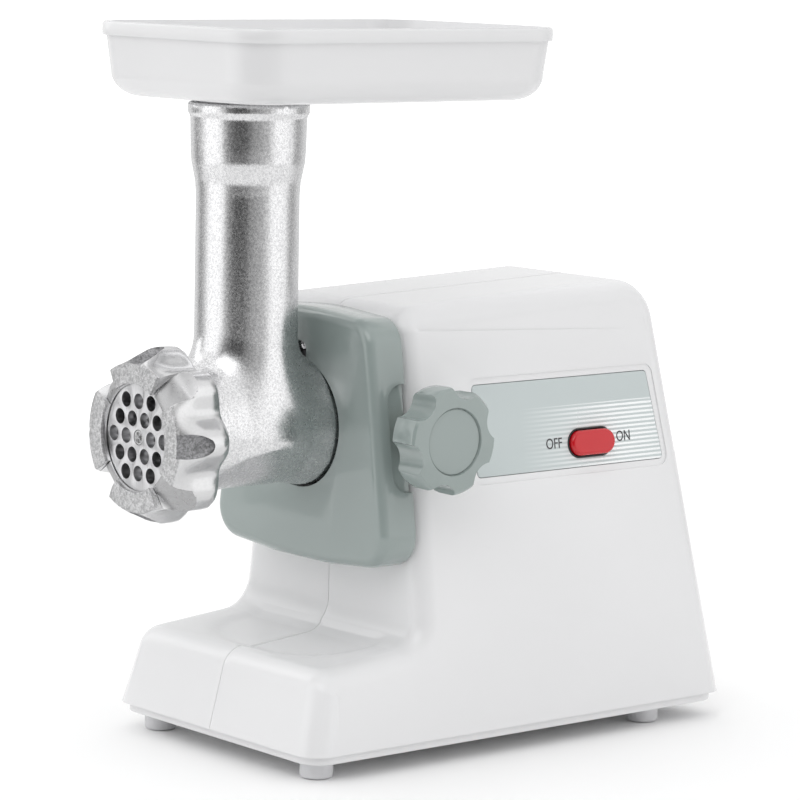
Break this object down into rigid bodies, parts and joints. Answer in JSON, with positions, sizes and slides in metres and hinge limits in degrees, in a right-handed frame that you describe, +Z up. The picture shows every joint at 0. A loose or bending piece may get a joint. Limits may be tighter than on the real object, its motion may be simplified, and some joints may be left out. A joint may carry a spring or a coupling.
{
  "type": "electric meat grinder",
  "caption": "Countertop meat grinder: cast head with auger, plate and ring nut under a hopper tray, clamped to a geared motor housing with a rocker switch.",
  "frame": {"origin": "centre of the base of the bounding box, on the surface under the feet", "axes": "+Z up, -Y towards the ring nut, +X towards the clamp knob and the switch"},
  "size_m": [0.1626, 0.301, 0.3325],
  "materials": {
    "white_plastic": "gloss white moulded plastic",
    "grey_plastic": "gloss grey-green moulded plastic",
    "panel_silver": "satin silver-grey printed panel",
    "red_plastic": "gloss red",
    "black_plastic": "matte black",
    "cast_aluminium": "satin tumbled casting",
    "steel": "ground",
    "copper": "lacquered copper winding",
    "brass": "machined brass",
    "gear_nylon": "natural nylon",
    "rubber": "soft off-white rubber"
  },
  "bodies": {
    "housing": {"faceplate": "grey_plastic", "head_socket": "black_plastic", "socket_screw": "steel", "left_housing": "white_plastic", "right_housing": "white_plastic", "base_plate": "white_plastic", "foot_front_left": "rubber", "foot_front_right": "rubber", "foot_rear_left": "rubber", "foot_rear_right": "rubber", "control_panel": "panel_silver", "switch_body": "black_plastic", "cord_gland": "rubber", "gearbox_case": "black_plastic", "gearbox_cover": "black_plastic", "output_bush": "brass", "counter_pin": "steel", "stator_core": "steel", "upper_field_coil": "copper", "lower_field_coil": "copper", "front_bearing": "steel", "rear_bearing": "steel", "motor_bracket": "black_plastic", "left_brush": "black_plastic", "right_brush": "black_plastic"},
    "head": {"grinder_head": "cast_aluminium"},
    "auger": {"auger": "cast_aluminium", "auger_washer": "gear_nylon", "cutting_blade": "steel"},
    "plate": {"grinding_plate": "steel"},
    "nut": {"ring_nut": "cast_aluminium"},
    "tray": {"hopper_tray": "white_plastic"},
    "washer": {"knob_washer": "gear_nylon"},
    "knob": {"clamp_knob": "grey_plastic", "knob_cap": "grey_plastic", "knob_stud": "steel"},
    "switch": {"switch_button": "red_plastic"},
    "output": {"output_shaft": "steel", "output_gear": "gear_nylon"},
    "counter": {"counter_gear": "gear_nylon"},
    "rotor": {"motor_shaft": "steel", "motor_pinion": "brass", "motor_fan": "black_plastic", "armature_core": "steel", "front_winding": "copper", "rear_winding": "copper", "commutator": "copper"}
  },
  "joints": [
    {"name": "head_pull", "type": "slide", "parent": "housing", "child": "head", "axis": [0, -1, 0], "range_m": [0, 0.08]},
    {"name": "tray_lift", "type": "slide", "parent": "head", "child": "tray", "axis": [0, 0, 1], "range_m": [0, 0.06]},
    {"name": "motor_spin", "type": "hinge", "parent": "housing", "child": "rotor", "pos_m": [-0.00535, 0, 0.08822], "axis": [0, 1, 0], "continuous": true},
    {"name": "counter_spin", "type": "hinge", "parent": "housing", "child": "counter", "pos_m": [-0.00535, 0, 0.11635], "axis": [0, 1, 0], "continuous": true},
    {"name": "output_spin", "type": "hinge", "parent": "housing", "child": "output", "pos_m": [-0.00535, 0, 0.1501], "axis": [0, 1, 0], "continuous": true},
    {"name": "auger_spin", "type": "hinge", "parent": "head", "child": "auger", "pos_m": [-0.00535, 0, 0.1501], "axis": [0, 1, 0], "continuous": true},
    {"name": "plate_slide", "type": "slide", "parent": "head", "child": "plate", "axis": [0, -1, 0], "range_m": [0, 0.0151]},
    {"name": "ring_nut_turn", "type": "hinge", "parent": "plate", "child": "nut", "pos_m": [-0.00535, -0.138, 0.1501], "axis": [0, -1, 0], "range_deg": [0, 1800]},
    {"name": "knob_washer_slide", "type": "slide", "parent": "housing", "child": "washer", "axis": [1, 0, 0], "range_m": [0, 0.0061]},
    {"name": "knob_turn", "type": "hinge", "parent": "washer", "child": "knob", "pos_m": [0.06, -0.036, 0.1501], "axis": [1, 0, 0], "range_deg": [0, 1440]},
    {"name": "switch_rock", "type": "hinge", "parent": "housing", "child": "switch", "pos_m": [0.05263, 0.0728, 0.1381], "axis": [-0.1413, 0, 0.99], "range_deg": [0, 10]}
  ],
  "couplings": [
    {"joint": "counter_spin", "follows": "motor_spin", "ratio": -0.25},
    {"joint": "output_spin", "follows": "motor_spin", "ratio": 0.0625},
    {"joint": "auger_spin", "follows": "motor_spin", "ratio": 0.0625},
    {"joint": "plate_slide", "follows": "ring_nut_turn", "m_per_rad": 0.00047746},
    {"joint": "knob_washer_slide", "follows": "knob_turn", "m_per_rad": 0.00023873}
  ]
}
